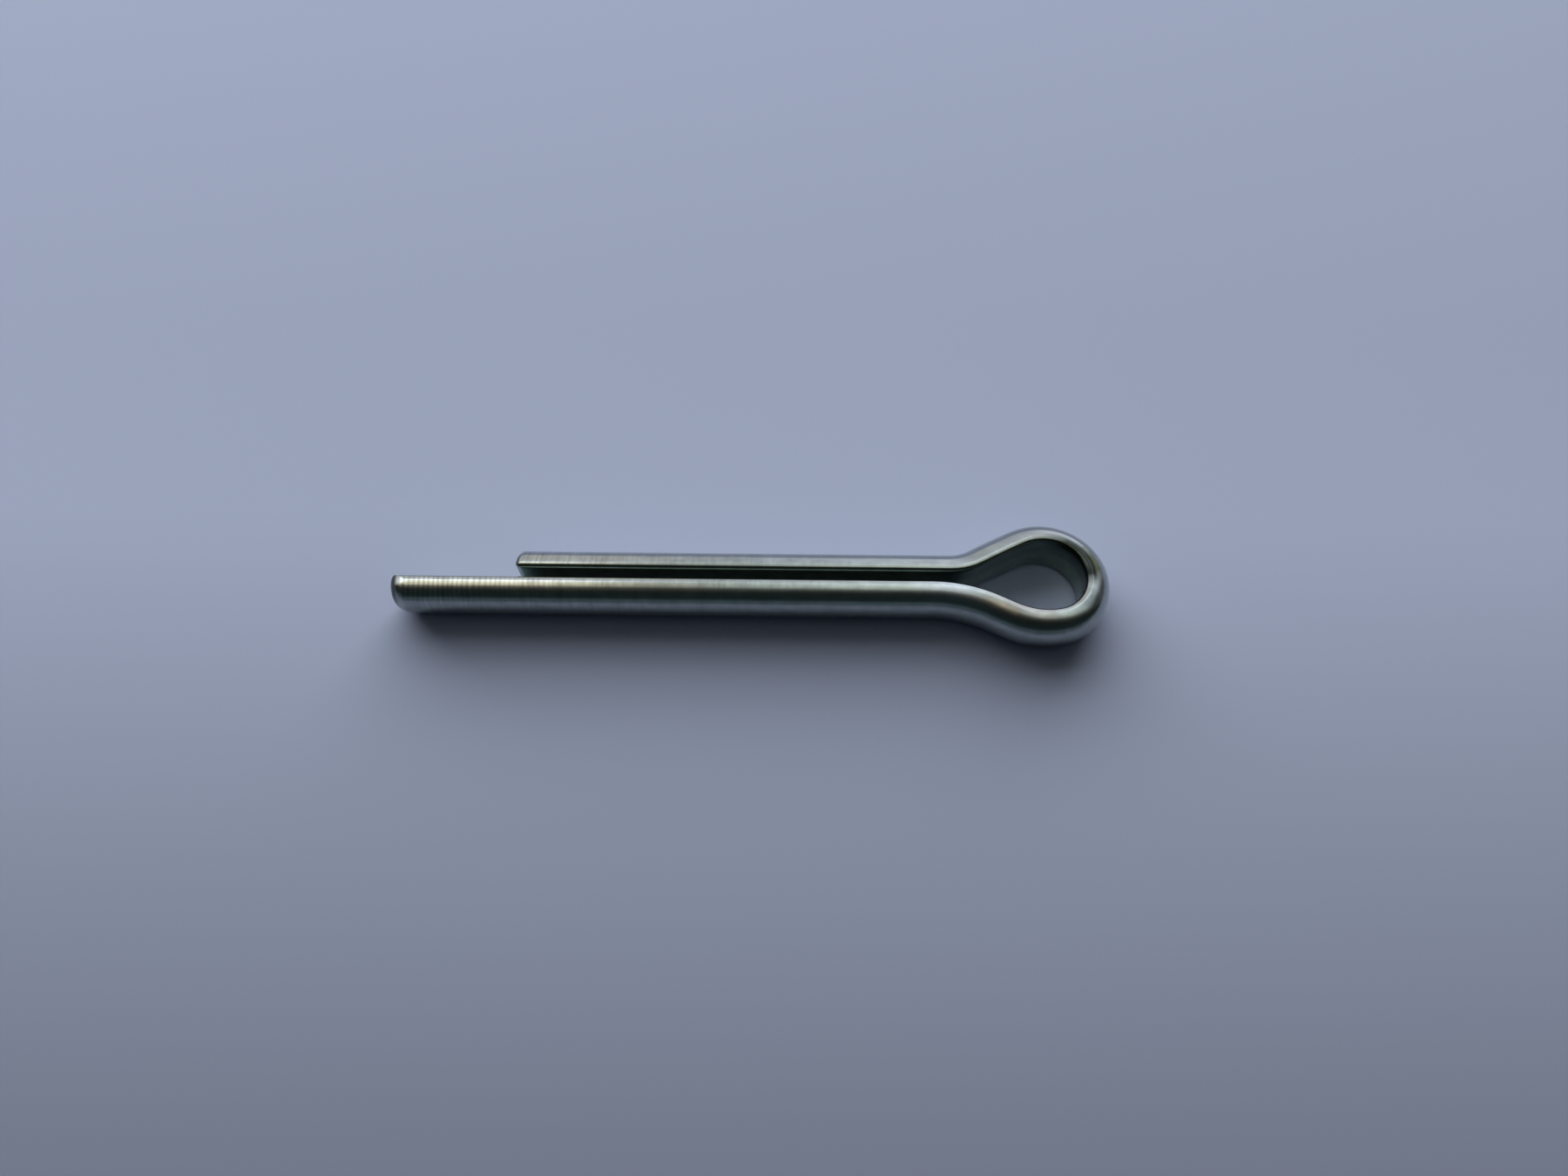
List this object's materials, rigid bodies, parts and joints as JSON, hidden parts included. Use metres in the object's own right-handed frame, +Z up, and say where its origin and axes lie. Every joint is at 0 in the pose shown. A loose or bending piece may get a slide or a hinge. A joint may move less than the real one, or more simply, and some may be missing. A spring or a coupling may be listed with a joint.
{
  "type": "cotter pin",
  "caption": "Split cotter pin: half-round wire folded at a round eye, with flat-faced legs of unequal length side by side, to lock a nut or clevis pin through a cross hole.",
  "frame": {"origin": "under the middle of the bounding box, on the surface that the pin lies on", "axes": "+X along the legs toward the eye, +Y toward the shorter leg, +Z up through the eye's hole as the pin lies flat"},
  "size_m": [0.037, 0.0066, 0.0028],
  "materials": {
    "steel_wire": "bright zinc-plated steel, smooth drawn wire with faint marks across the legs"
  },
  "bodies": {
    "root": {"cotter_pin": "steel_wire"}
  },
  "joints": []
}
